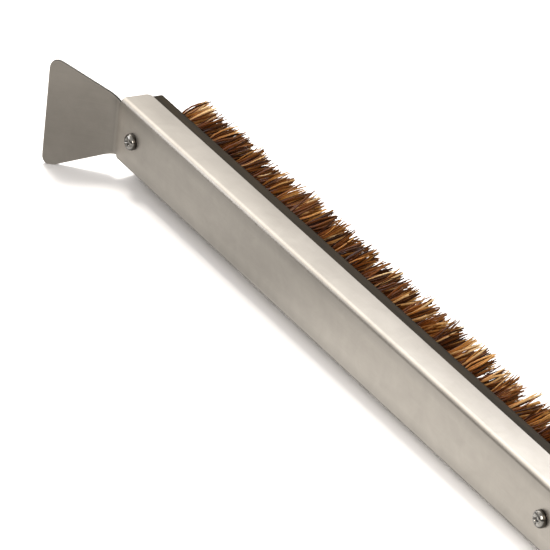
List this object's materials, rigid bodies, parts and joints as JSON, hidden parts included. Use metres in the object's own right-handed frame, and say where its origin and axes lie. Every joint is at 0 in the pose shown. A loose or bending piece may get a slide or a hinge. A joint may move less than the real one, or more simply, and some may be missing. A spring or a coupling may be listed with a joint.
{
  "type": "grill cleaning brush",
  "caption": "Long grill brush: folded steel channel back that runs on into a bent flared scraper, dark wooden block of stiff fibre tufts, wooden grip and swinging wire hanging loop.",
  "frame": {"origin": "on the channel's outer back face, midway between the two screws that hold the brush block", "axes": "+X from the scraper to the hanging loop, +Y the way the bristles point, +Z across the channel, up when the brush lies on its side"},
  "size_m": [0.569, 0.0644, 0.0536],
  "materials": {
    "channel_steel": "satin stainless steel sheet, fine grain along the length",
    "stained_wood": "beech stained dark olive black, matt",
    "fibre": "stiff natural palm fibre, golden brown",
    "anchor_wire": "drawn flat wire",
    "screw_steel": "polished stainless steel",
    "insert_brass": "turned brass",
    "loop_wire": "drawn stainless steel wire"
  },
  "bodies": {
    "brush": {"body_channel": "channel_steel", "brush_block": "stained_wood", "grip_block": "stained_wood", "upper_tufts": "fibre", "middle_tufts": "fibre", "lower_tufts": "fibre", "upper_staples": "anchor_wire", "middle_staples": "anchor_wire", "lower_staples": "anchor_wire", "front_screw": "screw_steel", "rear_screw": "screw_steel", "grip_front_screw": "screw_steel", "grip_rear_screw": "screw_steel", "front_insert": "insert_brass", "rear_insert": "insert_brass", "grip_front_insert": "insert_brass", "grip_rear_insert": "insert_brass"},
    "loop": {"hanging_loop": "loop_wire"}
  },
  "joints": [
    {"name": "loop_swing", "type": "hinge", "parent": "brush", "child": "loop", "pos_m": [0.319, 0.0075, 0], "axis": [0, 0, 1], "range_deg": [-155, 135]}
  ]
}
